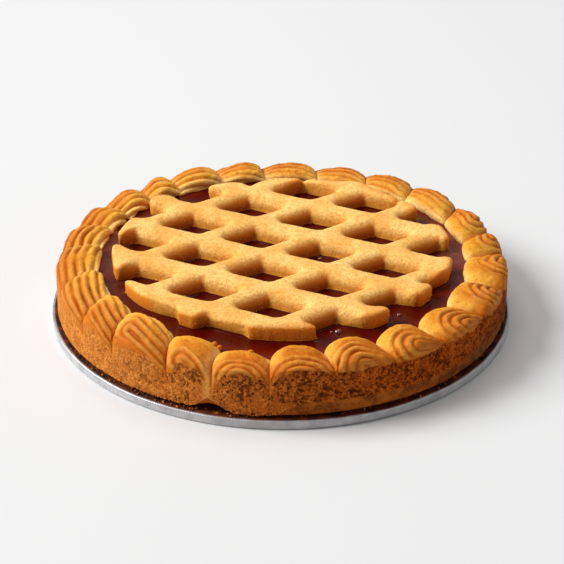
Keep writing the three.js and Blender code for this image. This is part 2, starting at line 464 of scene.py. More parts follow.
@dataclass(frozen=True)
class PipedCrust:
    """Butter-rich piped shortcrust, oven-baked: golden ridges with a faint fat sheen and a painted
    highlight on their crests, darker orange grooves and seams that are partly painted shade, pale
    inner flanks, a painted highlight on each shell's head end, and a brown open crumb where it was
    pressed on the ring, with painted shade in its pits, darker and redder towards the front right
    and darkest low on the right."""

    gold: str = "F2AE34"
    # ridge: a painted highlight on the ridge crests.
    ridge: str = "FFCC66"
    toasted: str = "D07412"
    orange: str = "BE5A04"
    # groove and groove_dark colour the grooves and seams, where they are partly painted shade, and also the
    # oven blush and flecks.
    groove: str = "C06810"
    groove_dark: str = "8E3602"
    # head: a painted highlight on each shell's head end.
    head: str = "FDBE48"
    pale: str = "FFD888"
    crumb: str = "C26C1E"
    crumb_light: str = "EA9E4A"
    # crumb_brown and crumb_deep: the crumb painted darker and redder, a painted shade on the side away from
    # the lamp.
    crumb_brown: str = "C85E04"
    crumb_deep: str = "781E02"
    # pit: painted shade in the crumb's pits and hollows.
    pit: str = "3C0A00"
    # A dark grey-brown for the low right side: painted shade and a painted dark reflection.
    right_shaded: str = "4A3018"

    def build(self) -> bpy.types.Material:
        """Make the material.

        Returns:
            The material.
        """
        tree = Tree("piped_shortcrust_baked")
        names = ("bake", "brown", "crumb")
        bake, brown, mask = (tree.add("Attribute", output="Fac", attribute_name=name) for name in names)
        # The crust: oven patches about 12 mm across, a blush of 2.5 mm, stronger where it was
        # baked darker, and flecks of 1.1 mm.
        gold = tree.coats(self.gold, (bake, self.orange, 0.65))
        toasted = tree.coats(self.toasted, (bake, self.orange))
        furrow = tree.coats(self.groove, (bake, self.groove_dark))
        blotch = tree.add("Math", {0: bake, 1: 0.55, 2: 0.15}, operation="MULTIPLY_ADD", use_clamp=True)
        blush = tree.patches(2.5, 0.42, 0.66, shift=0.2)
        blush = tree.add("Math", {0: blush, 1: blotch}, operation="MULTIPLY")
        crust = tree.coats(
            gold,
            ("toast", toasted),
            (tree.patches(12.0, 0.35, 0.68), gold, 0.35),
            (blush, furrow),
            # A painted highlight on each shell's head end.
            ("head", self.head, 0.6),
            ("pale", self.pale, 0.85),
            # A painted highlight on the ridge crests.
            ("ridge", self.ridge, 0.35),
            # The grooves and seams: painted shade in the creases, and real toasting round the swirl's
            # middle.
            ("groove", furrow, 0.8),
            (tree.patches(1.1, 0.5, 0.64, 4.0, 0.9), furrow, 0.3),
        )
        # The crumb: mottling about 4 mm and 0.9 mm across, painted darker and redder where the painted
        # shade on the side away from the lamp is strong, with dark hollows of 2.2 mm there.
        light = tree.coats(self.crumb_light, (brown, self.crumb_brown))
        plain = tree.coats(self.crumb, (brown, self.crumb_deep))
        # Dark hollows: painted shade in the pores.
        hollow = tree.patches(2.2, 0.54, 0.64, shift=0.7)
        hollow = tree.add("Math", {0: hollow, 1: brown}, operation="MULTIPLY")
        crumb = tree.coats(
            light,
            (tree.patches(4.0, 0.4, 0.62, shift=0.4), plain, 0.6),
            (tree.patches(0.9, 0.44, 0.6, 4.0, 0.6), plain, 0.75),
            (hollow, self.pit, 0.85),
        )
        # The last two coats are painted shade: dark pits, and a dark grey-brown low on the right side that
        # also stands for a dark reflection there.
        colour = tree.coats(crust, (mask, crumb), ("pit", self.pit, 0.85), ("right_shade", self.right_shaded, 0.4))
        relief = tree.add("Math", {0: tree.grain(0.55), 1: tree.grain(1.8, 4.0, 0.8)}, operation="ADD")
        depth = tree.add("Math", {0: mask, 1: 0.25, 2: 0.6}, operation="MULTIPLY_ADD")
        roughness = tree.add("MapRange", {"Value": mask, "To Min": 0.55, "To Max": 1.0}, "Result")
        shader = {"Base Color": colour, "Roughness": roughness, "IOR": 1.46, "Specular IOR Level": 0.12}
        shader |= {"Subsurface Weight": 0.12, "Subsurface Radius": (1.0, 0.4, 0.12)}
        shader |= {"Subsurface Scale": 1.2 * MM}
        return tree.finish(shader, (depth, 0.45, relief), subsurface_method="RANDOM_WALK")


@dataclass(frozen=True)
class RolledCrust:
    """Rolled shortcrust with a dry sandy face, baked pale gold on top and browner where cut."""

    top: str = "FBD07C"
    top_deep: str = "F0B45C"
    sand: str = "D8923A"
    side: str = "FFB23C"
    end: str = "F88E12"
    # shaded and deep are painted shade: orange brown on walls facing away from the lamp, and dark brown low
    # in the openings.
    shaded: str = "DA7816"
    deep: str = "A84A08"

    def build(self) -> bpy.types.Material:
        """Make the material, with oven patches of 16 mm and sandy flecks of 2.2 mm and 0.9 mm.

        Returns:
            The material.
        """
        tree = Tree("rolled_shortcrust_baked")
        colour = tree.coats(
            self.top,
            (tree.patches(16.0, 0.36, 0.66), self.top_deep),
            ("side", self.side),
            ("end", self.end),
            (tree.patches(2.2, 0.46, 0.64, shift=0.1), self.sand, 0.48),
            (tree.patches(0.9, 0.46, 0.64, shift=0.3), self.sand, 0.62),
            # Painted shade on walls facing away from the lamp and low in the openings.
            ("shaded", self.shaded),
            ("deep", self.deep),
        )
        grit = tree.add("Math", {0: tree.grain(0.6, 2.0), 1: tree.grain(1.6)}, operation="ADD")
        shader = {"Base Color": colour, "Roughness": 0.78, "IOR": 1.46, "Specular IOR Level": 0.25}
        shader |= {"Subsurface Weight": 0.3, "Subsurface Radius": (1.0, 0.5, 0.2)}
        shader |= {"Subsurface Scale": 1.4 * MM}
        return tree.finish(shader, (0.9, 0.5, grit), subsurface_method="RANDOM_WALK")


@dataclass(frozen=True)
class BaseDough:
    """The rolled base's edge, baked against metal: smooth, tight and olive brown, or open crumb."""

    smooth: str = "B0601A"
    smooth_dark: str = "74360C"
    crumb: str = "B4580E"
    # pit: painted shade in the pits of the crumb.
    pit: str = "4A1804"
    # A dark grey-brown for the low right side: painted shade and a painted dark reflection.
    right_shaded: str = "4A3018"

    def build(self) -> bpy.types.Material:
        """Make the material, with patches about 7 mm across and specks of 1.4 mm.

        Returns:
            The material.
        """
        tree = Tree("rolled_shortcrust_pan_side")
        colour = tree.coats(
            self.smooth,
            (tree.patches(7.0, 0.38, 0.62, 4.0), self.smooth_dark),
            (tree.patches(1.4, 0.45, 0.65, 4.0, 0.5), self.crumb, 0.5),
            ("crumb", self.crumb),
            ("pit", self.pit),
            # Painted shade and a painted dark reflection low on the right side.
            ("right_shade", self.right_shaded, 0.4),
        )
        shader = {"Base Color": colour, "Roughness": 0.8, "IOR": 1.46, "Specular IOR Level": 0.12}
        return tree.finish(shader, (0.5, 0.4, tree.grain(1.0, 4.0)))


@dataclass(frozen=True)
class ApricotJam:
    """Apricot jam cooked to a dark red amber and set to a wet gloss, redder where it is thin, with a
    painted reflection: duller and greyer near the border at the left and the right."""

    deep: str = "460200"
    brown: str = "540E06"
    glow: str = "7E1404"
    # A painted reflection: a greyish sheen laid near the border.
    skin_and_sheen: str = "8E5C4A"

    def build(self) -> bpy.types.Material:
        """Make the material, cloudy in patches of 9 mm, its skin rippled every 2.5 mm.

        Returns:
            The material.
        """
        tree = Tree("apricot_jam_cooked")
        colour = tree.coats(
            self.deep,
            (tree.patches(9.0, 0.4, 0.7, 4.0), self.brown, 0.6),
            ("thin", self.glow),
            # Painted reflection near the border at the left and the right.
            ("skin_and_sheen", self.skin_and_sheen, 0.45),
        )
        shader = {"Base Color": colour, "Roughness": 0.16, "IOR": 1.3}
        return tree.finish(shader, (0.5, 0.4, tree.grain(2.5)))


@dataclass(frozen=True)
class JamBubble:
    """A thin skin of jam over a bubble of steam: clear red amber, glossier than the rest."""

    skin_and_sheen: str = "5E1408"

    def build(self) -> bpy.types.Material:
        """Make the material.

        Returns:
            The material.
        """
        skin_and_sheen = {"Base Color": self.skin_and_sheen, "Roughness": 0.08, "IOR": 1.5}
        return Tree("apricot_jam_bubble").finish(skin_and_sheen | {"Coat Weight": 1.0, "Coat Roughness": 0.03})


@dataclass(frozen=True)
class CardFoil:
    """Bright silver foil laminated to thin grey board: a soft mirror with fine rolled waves, painted
    dark red-brown and dull round the tart's foot as a painted reflection of its side and a painted
    contact shadow, and tinted brown at the front as a painted reflection of the tart."""

    foil: str = "DADBDD"
    dull: str = "C2C3C5"
    # A painted reflection of the tart's side and a painted contact shadow: dark red-brown, darker in
    # patches.
    reflection_shade: str = "6C2C0E"
    reflection_shade_dark: str = "240A03"

    def build(self) -> bpy.types.Material:
        """Make the material, with dull patches of 6 mm, darker patches of 9 mm in the painted reflection
        and shadow, and waves of 2.6 mm.

        Returns:
            The material.
        """
        tree = Tree("silver_foil_laminate")
        # Painted reflection and contact shadow: where the mask is full, the foil turns dark red-brown,
        # stops being metallic, and turns dull.
        reflection_shade = tree.add("Attribute", output="Fac", attribute_name="reflection_shade")
        reflection_shade_colour = tree.coats(self.reflection_shade, (tree.patches(9.0, 0.36, 0.66, shift=0.2), self.reflection_shade_dark))
        colour = tree.coats(self.foil, (tree.patches(6.0, 0.35, 0.7), self.dull), (reflection_shade, reflection_shade_colour))
        metal = tree.add("MapRange", {"Value": reflection_shade, "To Min": 0.8, "To Max": 0.0}, "Result")
        roughness = tree.add("MapRange", {"Value": reflection_shade, "To Min": 0.3, "To Max": 0.85}, "Result")
        shader = {"Base Color": colour, "Metallic": metal, "Roughness": roughness}
        return tree.finish(shader | {"Specular IOR Level": 0.2}, (0.14, 0.3, tree.grain(2.6)))


@dataclass(frozen=True)
class SugarGrain:
    """Caster sugar baked onto the dough: dull pale gold grains, browned a little by the oven."""

    colour: str = "FFCC7A"
    tinted: str = "EFA648"

    def build(self) -> bpy.types.Material:
        """Make the material.

        Returns:
            The material.
        """
        tree = Tree("caster_sugar_grains")
        tint = tree.coats(self.colour, (tree.patches(3.0, 0.4, 0.6), self.tinted))
        return tree.finish({"Base Color": tint, "Roughness": 0.7, "IOR": 1.54, "Specular IOR Level": 0.05})


@dataclass(frozen=True)
class LooseCrumb:
    """Crumbs broken off the browned side of the tart: rough and without gloss."""

    colour: str = "C4742A"
    dark: str = "8A3E10"

    def build(self) -> bpy.types.Material:
        """Make the material.

        Returns:
            The material.
        """
        tree = Tree("loose_shortcrust_crumb")
        tint = tree.coats(self.colour, (tree.patches(3.0, 0.4, 0.6), self.dark))
        shader = {"Base Color": tint, "Roughness": 0.9, "IOR": 1.46}
        return tree.finish(shader, (0.6, 0.3, tree.grain(0.7)))


class Finish(Enum):
    """The finishes of the tart and its card."""

    PIPED_CRUST = PipedCrust()
    ROLLED_CRUST = RolledCrust()
    BASE_DOUGH = BaseDough()
    JAM = ApricotJam()
    BUBBLE = JamBubble()
    FOIL = CardFoil()
    SUGAR = SugarGrain()
    CRUMB = LooseCrumb()

    @cache
    def material(self) -> bpy.types.Material:
        """Give the finish's material, which is made the first time it is asked for."""
        return self.value.build()


def dress(piece: bpy.types.Object, finish: Finish, slot: str, *stands_for: str) -> None:
    """Finish a piece, let it ride on the tart and report it.

    Args:
        piece: the object to dress.
        finish: which finish it gets.
        slot: not used.
        *stands_for: the frame's nodes that it is shown instead of.
    """
    piece.data.materials.clear()
    piece.data.materials.append(finish.material())
    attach(piece, "root")
    if stands_for:
        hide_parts(*stands_for)
    LOG.info("%s: %d faces, %s", piece.name, len(piece.data.polygons), finish.name.lower())


# ---------------- crumbs, sugar and dough tips


@dataclass
class Lumps:
    """Small lumps of one kind, made as a single piece: balls of 24 faces each, if not said."""

    name: str
    seed: int
    flat: float = 0.8
    rough: float = 0.3
    rises: int = 5
    turns: int = 6

    def build(self, places: Array, sizes: Array) -> bpy.types.Object:
        """Make a lump at each place.

        Args:
            places: middles in mm, one to a row.
            sizes: width of each lump in mm.

        Returns:
            The lumps. Each is a ball, from the sines and cosines of its two angles, with every
            point drawn in or pushed out at random.
        """
        chance = np.random.default_rng(self.seed)
        rise = np.radians(np.linspace(-90.0, 90.0, self.rises))[:, None]
        turn = np.radians(whole_turn(self.turns)).T
        parts = np.cos(rise) * np.cos(turn), np.cos(rise) * np.sin(turn), self.flat * np.sin(rise)
        ball = np.stack(np.broadcast_arrays(*parts), axis=-1)
        spread = chance.uniform(-1.0, 1.0, (len(places), self.rises, self.turns, 1))
        push = 1.0 + self.rough * spread
        push[:, [0, -1]] = push[:, [0, -1], :1]
        points = places[:, None, None, :] + 0.5 * sizes[:, None, None, None] * ball * push
        first = self.rises * self.turns * np.arange(len(places))[:, None, None]
        faces = Sheet(ball, wrap_columns=True).faces()[None] + first
        return make_object(self.name, points.reshape(-1, 3), faces.reshape(-1, 4))


@dataclass
class LooseCrumbs:
    """Crumbs on the card in front of the tart, and clinging to the ragged lower edge.

    The stretches are in degrees: most crumbs fell on the front one, and those that cling hang on
    the ragged one, on the upright wall about the axis that is named.
    """

    fallen: int = 210
    clinging: int = 340
    front: tuple[float, float] = (205.0, 262.0)
    right: tuple[float, float] = (262.0, 345.0)
    front_share: float = 0.75
    ragged: tuple[float, float] = (234.0, 272.0)
    card_ring: tuple[float, float] = (119.0, 4.2)
    wall: float = 121.9
    wall_axis: tuple[float, float] = (0.4, 0.0)

    def build(self) -> None:
        """Scatter and dress the crumbs."""
        chance = np.random.default_rng(61)
        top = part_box("foil_card")[1].z / MM
        in_front = chance.uniform(0.0, 1.0, self.fallen) < self.front_share
        stretches = (chance.uniform(*stretch, self.fallen) for stretch in (self.front, self.right))
        degrees = np.where(in_front, *stretches)
        sizes = 0.4 + 1.1 * chance.uniform(0.0, 1.0, self.fallen) ** 3
        radius = self.card_ring[0] + self.card_ring[1] * chance.uniform(0.0, 1.0, self.fallen) ** 1.5
        places = polar(radius, degrees, top + 0.3 * sizes, (0.0, 0.0))
        dress(Lumps("fallen_crumbs", 62).build(places, sizes), Finish.CRUMB, "piped_crust")
        degrees = chance.uniform(*self.ragged, self.clinging)
        sizes = chance.uniform(0.5, 1.2, self.clinging)
        lift = 2.2 * chance.uniform(0.0, 1.0, self.clinging) ** 2
        places = polar(self.wall - 0.2 * sizes, degrees, border_foot(degrees) + lift, self.wall_axis)
        dress(Lumps("clinging_crumbs", 63).build(places, sizes), Finish.CRUMB, "piped_crust")


@dataclass
class DoughTip:
    """A ragged tip where the piping bag was pulled away: a low blunt nub leaning over.

    root is the height it stands at, and lean how far its end lies over in x and y.
    """

    name: str
    degrees: float
    radius: float
    root: float
    length: float
    width: float
    lean: tuple[float, float]

    def build(self, centre: tuple[float, float]) -> None:
        """Build and dress the tip: rings on a bent path, as wide as the root of 1 - share squared.

        Args:
            centre: the tart's upright axis.
        """
        share = np.linspace(0.0, 1.0, 16)[:, None]
        turn = np.radians(whole_turn(22)).T
        ring = 0.5 * self.width * np.sqrt(1.0 - share**2) * (1.0 - 0.15 * share)
        place = polar(self.radius, self.degrees, self.root, centre)
        parts = (
            place[0] + self.lean[0] * share**2 + ring * np.cos(turn),
            place[1] + self.lean[1] * share**2 + 0.7 * ring * np.sin(turn),
            place[2] + self.length * share,
        )
        points = np.stack(np.broadcast_arrays(*parts), axis=-1)
        sheet = Sheet(points, wrap_columns=True)
        points += sheet.normals() * (0.4 * Noise(64).cloud(points, 1.6) * (1.0 - share))[..., None]
        even = np.ones(points.shape[:2])
        values = {"toast": 0.9 * even, "bake": 0.5 * even}
        made = Sheet(points, values, wrap_columns=True).build(self.name)
        dress(made, Finish.PIPED_CRUST, "piped_crust")


TIPS = (
    DoughTip("dough_tip_left", 250.5, 102.0, 31.2, 3.0, 4.4, (0.9, 0.0)),
    DoughTip("dough_tip_left_low", 251.9, 102.2, 30.2, 2.6, 3.8, (1.2, 0.0)),
    DoughTip("dough_tip_middle", 261.2, 103.0, 30.0, 2.8, 4.8, (0.7, 0.0)),
)


# ---------------- the piped border


def border_foot(degrees: Array) -> Array:
    """Say how far down the piped dough reaches over the base's edge.

    Args:
        degrees: angle round the tart.

    Returns:
        7.2 mm, but 13.6 mm on the right front, 6.2 mm more in a recess at 253 degrees and 1 mm
        less where the dough spills at 263 degrees.
    """
    lifted = smooth_step(degrees, 269.0, 275.0) * smooth_step(degrees, 349.0, 341.0)
    return 7.2 + 6.4 * lifted + 6.2 * hump(degrees, 253.0, 3.2) - 1.0 * hump(degrees, 263.0, 4.0)


def right_shaded(degrees: Array, height: Array) -> Array:
    """Say where a dark grey-brown is painted low on the right side of the tart, as painted shade and a
    painted dark reflection.

    Args:
        degrees: angle round the tart.
        height: height above the floor.

    Returns:
        0..1, from about 312 degrees on, below a line that climbs from 13 mm to 23 mm.
    """
    turned = degrees % 360.0
    line = 13.0 + 10.0 * smooth_step(turned, 314.0, 342.0)
    return smooth_step(turned, 309.0, 322.0) * smooth_step(height, line + 2.5, line - 2.5)


@dataclass(frozen=True)
class ShellShape:
    """How one piped shell sits. Heights and lengths are in mm.

    face is where the outer shoulder meets the upright face, blunt how round that shoulder is,
    below 1 being squarer, peak how far along the fullest place lies, and fall how soon the tail
    drops away. sink is how far the crest lies below the frame's, inset how far the inner side
    stands back from the jam, and bake how dark it was baked. ridge is the height of the ridges and
    pitch their spacing. swirl is the rings' middle: its share of the way along, and how far it
    lies down the outer side from the crest. reach is how far out from it rings show, close how
    round they come back over the tail, drift how far they run down the outer side along the tail,
    and fade how much they die out past the swirl. crumb is how high the open crumb goes.

    The rest tells of the seam with the next shell: its outer height in valley, its inner radius in
    notch, its inner height in saddle, how far below its outer height the open crumb stays in hang,
    how many degrees it bows back in bow, and how many degrees its outer end lies from the frame's
    in slide.
    """

    face: float
    blunt: float
    peak: float
    ridge: float
    pitch: float
    swirl: tuple[float, float]
    bake: float
    reach: float = 40.0
    close: float = 0.0
    drift: float = 5.0
    fade: float = 0.0
    fall: float = 0.62
    sink: float = 0.0
    inset: float = 0.0
    crumb: float = 22.0
    valley: float = 26.5
    notch: float = 99.8
    saddle: float = 30.9
    hang: float = 4.5
    bow: float = 0.0
    slide: float = 0.0


SwirledShape = partial(ShellShape, reach=18.0, close=0.5, drift=4.0, fade=0.7)

# Counter-clockwise from the right-hand side: the right, the back, the left, and the front from
# left to right. The seven bare numbers are the face, blunt, peak, ridge, pitch, swirl and bake.
SHELL_SHAPES = (
    SwirledShape(27.0, 0.85, 0.45, 1.5, 4.8, (0.5, 14.0), 0.45, reach=15.0, drift=3.0, fade=0.5,
                 crumb=25.0, valley=27.0, notch=101.5, bow=0.6),
    ShellShape(26.0, 0.8, 0.42, 1.2, 5.0, (0.4, 14.0), 0.5, reach=17.0, close=0.4, drift=3.0,
               fade=0.5, crumb=24.0, valley=27.0, notch=101.3, bow=0.4),
    ShellShape(26.0, 0.82, 0.4, 0.9, 5.2, (0.3, 14.0), 0.65, reach=24.0, close=0.2, drift=6.0,
               valley=27.0, notch=100.4, bow=0.3),
    ShellShape(26.0, 0.82, 0.4, 0.8, 5.6, (0.2, 15.0), 0.7),
    ShellShape(26.0, 0.82, 0.38, 0.7, 5.9, (0.1, 13.6), 0.7, fall=0.75),
    ShellShape(26.0, 0.82, 0.4, 0.8, 5.6, (0.1, 16.4), 0.65, fall=0.7),
    ShellShape(26.0, 0.82, 0.4, 1.2, 5.4, (0.1, 14.2), 0.45, fall=0.8),
    ShellShape(26.0, 0.82, 0.4, 2.1, 6.0, (0.1, 16.2), 0.25, drift=8.0, fall=0.75),
    ShellShape(26.0, 0.84, 0.36, 2.2, 6.2, (0.15, 13.4), 0.38, drift=10.0, fall=0.9, valley=25.5,
               saddle=30.2),
    ShellShape(26.0, 0.84, 0.38, 2.2, 5.7, (0.1, 16.8), 0.28, drift=11.0, fall=0.95, valley=25.0,
               saddle=29.9),
    ShellShape(26.0, 0.84, 0.34, 2.2, 6.3, (0.05, 13.8), 0.34, drift=10.0, fall=0.9, valley=25.0,
               saddle=29.9),
    ShellShape(26.0, 0.84, 0.4, 2.1, 5.8, (0.1, 16.6), 0.36, drift=8.0, fall=0.85, valley=25.2,
               saddle=30.2),
    ShellShape(26.0, 0.84, 0.42, 1.8, 5.7, (0.05, 14.2), 0.25, fall=0.75, crumb=24.0, valley=25.6),
    ShellShape(27.0, 0.82, 0.42, 1.7, 5.6, (0.06, 15.6), 0.35, drift=7.0, fall=0.72, crumb=26.5,
               valley=25.3),
    ShellShape(28.0, 0.8, 0.5, 1.8, 5.6, (0.19, 11.0), 0.45, drift=8.0, crumb=28.5, valley=25.0,
               notch=100.0, bow=0.3),
    ShellShape(29.0, 0.8, 0.47, 1.9, 6.2, (0.34, 11.5), 0.45, drift=9.0, crumb=29.5, valley=24.0,
               notch=102.0, bow=0.5),
    ShellShape(30.0, 0.8, 0.45, 2.1, 5.6, (0.42, 16.5), 0.35, reach=10.5, close=0.6, drift=8.0,
               sink=1.6, inset=0.6, crumb=30.8, valley=24.5, notch=104.7, saddle=30.3, bow=1.0),
    ShellShape(31.0, 0.7, 0.45, 1.6, 3.9, (0.5, 20.5), 0.7, reach=16.0, close=0.9, drift=0.0,
               fall=1.0, sink=2.0, inset=2.0, crumb=31.0, valley=25.2, notch=107.0, saddle=30.2,
               bow=0.3, slide=-2.2),
    ShellShape(32.5, 0.7, 0.5, 2.0, 4.4, (0.45, 22.5), 0.65, reach=17.5, close=0.8, drift=0.0,
               sink=0.5, crumb=33.0, valley=29.9, notch=105.0, hang=0.4),
    SwirledShape(32.0, 0.76, 0.47, 2.1, 4.6, (0.46, 19.5), 0.45, reach=20.0, crumb=29.6,
                 valley=29.7, notch=105.0, hang=0.4, bow=0.8),
    SwirledShape(31.5, 0.78, 0.44, 2.1, 4.5, (0.5, 16.5), 0.5, crumb=28.8, valley=29.4,
                 notch=104.0, hang=0.6, bow=2.0),
    SwirledShape(30.5, 0.8, 0.44, 2.0, 4.5, (0.56, 16.0), 0.55, crumb=28.4, valley=29.0,
                 notch=103.0, hang=0.8, bow=0.4),
    SwirledShape(30.0, 0.8, 0.45, 1.9, 4.6, (0.72, 14.5), 0.5, drift=3.0, crumb=27.6,
                 valley=28.4, notch=101.5, hang=1.2, bow=1.2),
    SwirledShape(29.0, 0.82, 0.45, 1.8, 4.8, (0.6, 15.0), 0.4, reach=17.0, drift=3.0, fade=0.6,
                 crumb=26.6, valley=27.6, notch=101.3, hang=2.4, bow=0.6),
)


@dataclass
class ShellGrid:
    """A shell's grid before its ridges are raised: stations along it by points round its profile.

    column is the share of the way along, valley the outer height of the two seams taken evenly
    along, full the profile where the shell is fullest, and fullness how near a station comes to it.
    """

    column: Array
    valley: Array
    full: Array
    fullness: Array
    profile: Array
    degrees: Array
    points: Array

    @property
    def radius(self) -> Array:
        """Give each point's distance from the tart's axis."""
        return self.profile[..., 0]

    @property
    def height(self) -> Array:
        """Give each point's height above the floor."""
        return self.profile[..., 1]


@dataclass
class PipedShell:
    """One shell of the border, as a grid: stations along the piping by points round its profile.

    At each station the profile lies between a low one, where two shells meet, and a full one. How
    full it is rises steeply over the shell's head and falls slowly along its tail. Ridges follow
    rings round a swirl on the outer side, drawn out so that they run over the top to the tail.

    head and tail are the inner and outer angles of its two seams, before is the shell that it
    follows, and wall, crest_radius and inner are radii of its outer face, crest and inner side.
    The meeting sizes and dent are those of a seam's profile, and counts the points on the inner
    flank, the top, the face and the foot.
    """

    name: str
    head: tuple[float, float]
    tail: tuple[float, float]
    crest: float
    shape: ShellShape
    before: ShellShape
    centre: tuple[float, float]
    open_crumb: tuple[tuple[float, float, float], ...]
    wall: float = 122.1
    crest_radius: float = 105.8
    inner: float = 98.6
    inner_height: float = 32.0
    foot: float = 26.5
    meeting_height: float = 29.0
    meeting_blunt: float = 1.15
    dent: float = 1.6
    stations: int = 120
    counts: tuple[int, int, int, int] = (26, 48, 58, 7)

    def seam(self, key: str, along: Array) -> Array:
        """Go evenly from one of the head seam's sizes to the same one of the tail's."""
        return blend(getattr(self.before, key), getattr(self.shape, key), along)

    def fullness(self, along: Array) -> Array:
        """Give 0 where two shells meet and 1 at the fullest.

        Args:
            along: share of the way along the shell.

        Returns:
            A quarter circle over the head, then a cosine to the power of fall.
        """
        share = self.shape.peak
        head = np.sqrt(np.clip(1.0 - (1.0 - along / share) ** 2, 0.0, 1.0))
        tail = np.cos(np.clip(0.5 * np.pi * (along - share) / (1.0 - share), 0.0, 0.5 * np.pi))
        return np.where(along < share, head, np.clip(tail, 0.0, 1.0) ** self.shape.fall)

    def degrees(self, radius: Array, along: Array) -> Array:
        """Give each point its angle round the tart.

        Args:
            radius: distance from the tart's axis.
            along: share of the way from the head's seam to the tail's.

        Returns:
            An even blend of the two seams, each of which runs from its inner to its outer angle
            and bows back by a parabola between them.
        """
        across = np.clip((radius - 100.0) / (self.wall - 100.0), -0.1, 1.0)
        bulge = 4.0 * np.clip(across, 0.0, 1.0) * (1.0 - across)
        head = blend(*self.head, across) - self.before.bow * bulge
        tail = blend(*self.tail, across) - self.shape.bow * bulge
        return blend(head, tail, along)

    def outline(
        self, inner: Array, inner_height: float, crest: Array, face: Array, bluntness: float,
        low: Array, dent: float,
    ) -> Array:
        """Trace a profile from its inner foot over the crest and down the outer face.

        The flank and the shoulder are quarters of rounded-off ellipses, the face is upright, drawn
        in by dent at its top, and the foot turns in under it by a power curve.

        Args:
            inner: least radius of the inner flank.
            inner_height: height of that least radius.
            crest: height of the crest.
            face: height where the shoulder meets the face.
            bluntness: power of the sine and cosine; below 1 the shoulder is squarer.
            low: height of the bottom edge at each station.
            dent: how far the face is drawn in.

        Returns:
            Radius and height: stations by points by 2.
        """
        flank_count, *counts = self.counts
        turn = np.radians(np.linspace(-58.0, 90.0, flank_count))[None, :]
        rise, reach = np.sin(turn), np.cos(turn)
        ridge = np.maximum(self.crest_radius + 0.6 * self.shape.inset, inner + 4.0)
        above = inner_height + (crest - inner_height) * np.clip(rise, 0.0, 1.0) ** 0.9
        below = inner_height + (inner_height - self.foot) * rise
        down, under = (np.linspace(0.0, 1.0, count + 1)[None, 1:] for count in counts[1:])
        over = np.radians(np.linspace(0.0, 90.0, counts[0] + 1))[None, 1:]
        edge = self.wall - dent
        parts = (
            (
                ridge - (ridge - inner) * np.clip(reach, 0.0, 1.0) ** 0.9,
                np.where(turn >= 0.0, above, below),
            ),
            (
                ridge + (edge - ridge) * np.sin(over) ** bluntness,
                face + (crest - face) * np.clip(np.cos(over), 0.0, 1.0) ** bluntness,
            ),
            (self.wall - dent * (1.0 - smooth_step(down, 0.0, 0.6)), blend(face, low, down)),
            (self.wall - 9.0 * under**1.5, low - 0.5 * np.sin(np.pi * under) + 0.8 * under**2),
        )
        return join_profile(parts, low)

    def lay_out(self) -> ShellGrid:
        """Place the grid.

        Returns:
            The grid: the meeting profile, plus the fullness times the step to the full profile.
            Its stations are bunched towards both seams by a cosine.
        """
        shape = self.shape
        share = np.linspace(0.0, 1.0, self.stations)
        along = 0.45 * share + 0.55 * 0.5 * (1.0 - np.cos(np.pi * share))
        column = along[:, None]
        valley = self.seam("valley", column)
        around = blend(self.head[1], self.tail[1], column)
        edge = polar(self.wall, around, 0.0, self.centre)
        skirt = border_foot(around) + 1.1 * Noise(20).cloud(edge, 2.6, 2) * hump(around, 257.0, 11.0)
        crest = self.crest - 0.4 * shape.ridge - shape.sink
        full = self.outline(
            self.inner + shape.inset, min(self.inner_height, crest - 3.4), crest, shape.face,
            shape.blunt, skirt, 0.0,
        )
        meet = self.outline(
            self.seam("notch", column), self.meeting_height, self.seam("saddle", column), valley,
            self.meeting_blunt, skirt, self.dent,
        )
        fullness = self.fullness(column)
        profile = blend(meet, full, fullness[..., None])
        degrees = self.degrees(profile[..., 0], column)
        points = polar(profile[..., 0], degrees, profile[..., 1], self.centre)
        return ShellGrid(column, valley, full, fullness, profile, degrees, points)

    def rings(self, along: Array, profile: Array) -> tuple[Array, Array]:
        """Measure how far out from the swirl's middle each point lies, in mm along the dough.

        Args:
            along: share of the way along the shell, one to a station.
            profile: the full profile, stations by points by 2.

        Returns:
            The length of (up, way along), where up is the way up the profile from the swirl's
            middle, which itself drifts down towards the tail; and up alone.
        """
        steps = np.linalg.norm(np.diff(profile, axis=1), axis=-1)
        length = np.hstack([np.zeros((len(profile), 1)), np.cumsum(steps, axis=1)])
        place, drop = self.shape.swirl
        width = math.radians(self.tail[1] - self.head[1]) * 118.0
        at_head = along < place
        across = np.where(at_head, (place - along) / max(place, 1e-3), (along - place) / (1.0 - place))
        reach = width * np.where(at_head, place, (1.0 - place) * self.shape.close)
        drift = np.where(at_head, 0.0, self.shape.drift) * across
        up = length[:, self.counts[0] - 1 : self.counts[0]] + drop + drift[:, None] - length
        return np.hypot(np.where(up < 0.0, 1.4 * up, up), (reach * across)[:, None]), up

    def open_sides(self, grid: ShellGrid, porous: Array) -> tuple[Array, Array]:
        """Say where the dough shows open crumb.

        Args:
            grid: the shell's grid.
            porous: how porous the crumb is, which sharpens its upper edge.

        Returns:
            The crumb, 0..1, on the outer side below a line that rises from the seams along a sine
            and is made ragged by noise; and a smooth strip that hides it at 252 degrees.
        """
        arch = np.sin(np.pi * grid.column) ** 0.7
        line = blend(grid.valley - self.seam("hang", grid.column), self.shape.crumb, arch)
        ragged = 2.8 * Noise(11).cloud(grid.points, 5.0) + 1.0 * Noise(10).cloud(grid.points, 1.4)
        line = line + ragged * (1.0 - 0.5 * smooth_step(grid.height, 29.5, 31.5))
        soft = 3.4 - 2.5 * smooth_step(porous, 0.2, 0.6)
        crumb = smooth_step((line - grid.height) / soft, -0.8, 1.0)
        strip = hump(grid.degrees % 360.0, 252.3, 1.3) * smooth_step(grid.height, 8.0, 12.0)
        return crumb * smooth_step(grid.radius, 113.0, 117.0) * (1.0 - 0.9 * strip), strip

